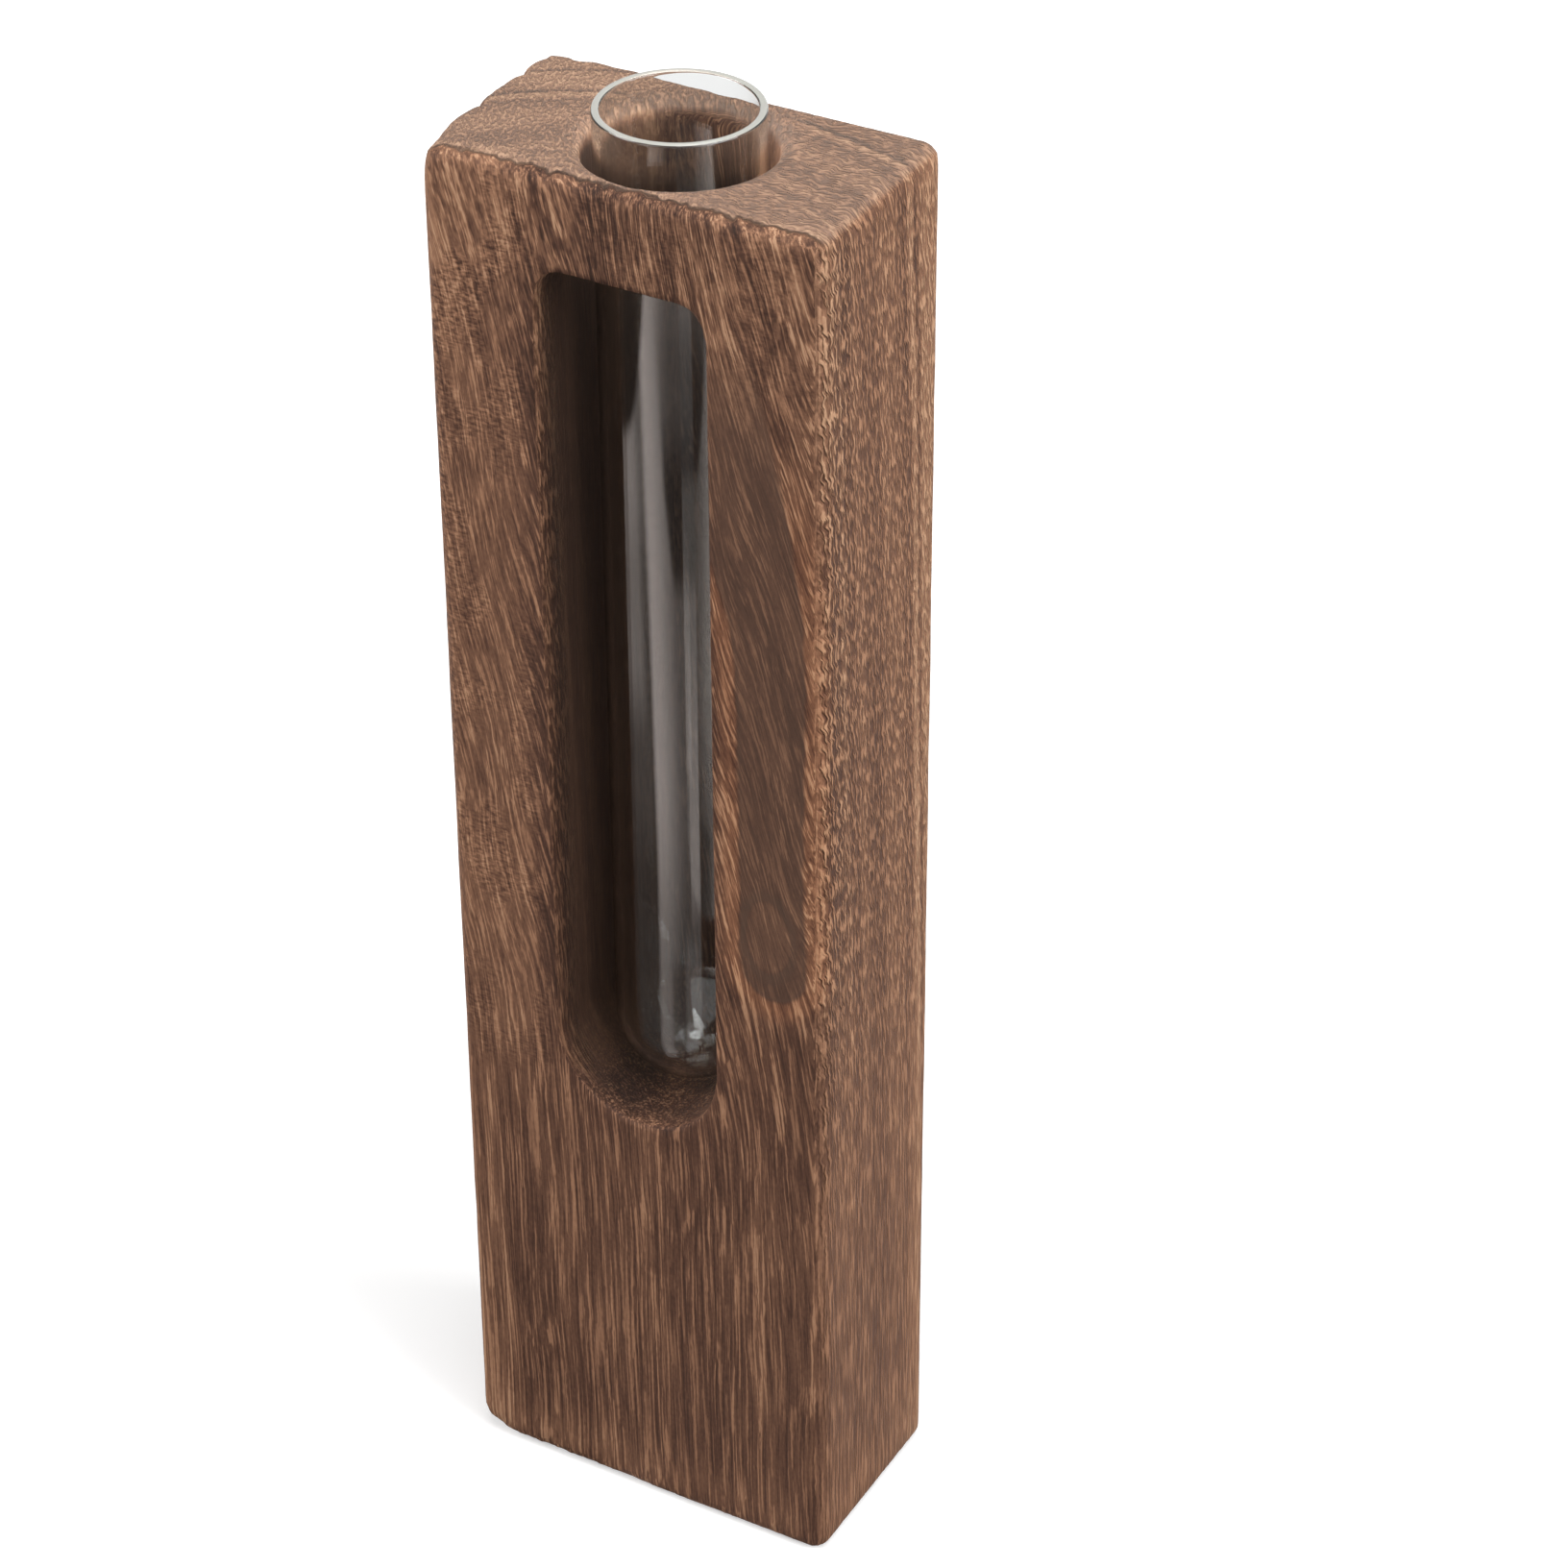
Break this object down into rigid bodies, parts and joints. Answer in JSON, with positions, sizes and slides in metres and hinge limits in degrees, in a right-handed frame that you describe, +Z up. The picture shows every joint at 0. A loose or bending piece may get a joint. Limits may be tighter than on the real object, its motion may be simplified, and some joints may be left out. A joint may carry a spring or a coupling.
{
  "type": "test tube vase",
  "caption": "Upright wooden block with a routed window in its front and a bore from above, holding a glass test tube for stems.",
  "frame": {"origin": "centre of the block's base, on the surface that the vase stands on", "axes": "+Z up along the block and the tube, -Y out of the window in the front face, +X to the right seen from the front"},
  "size_m": [0.066, 0.036, 0.2452],
  "materials": {
    "burnt_wood": "scorched, wire brushed and oiled, satin",
    "clear_glass": "clear, fire polished rim"
  },
  "bodies": {
    "block": {"wood_block": "burnt_wood"},
    "tube": {"test_tube": "clear_glass"}
  },
  "joints": [
    {"name": "tube_lift", "type": "slide", "parent": "block", "child": "tube", "axis": [0, 0, 1], "range_m": [0, 0.175]}
  ]
}
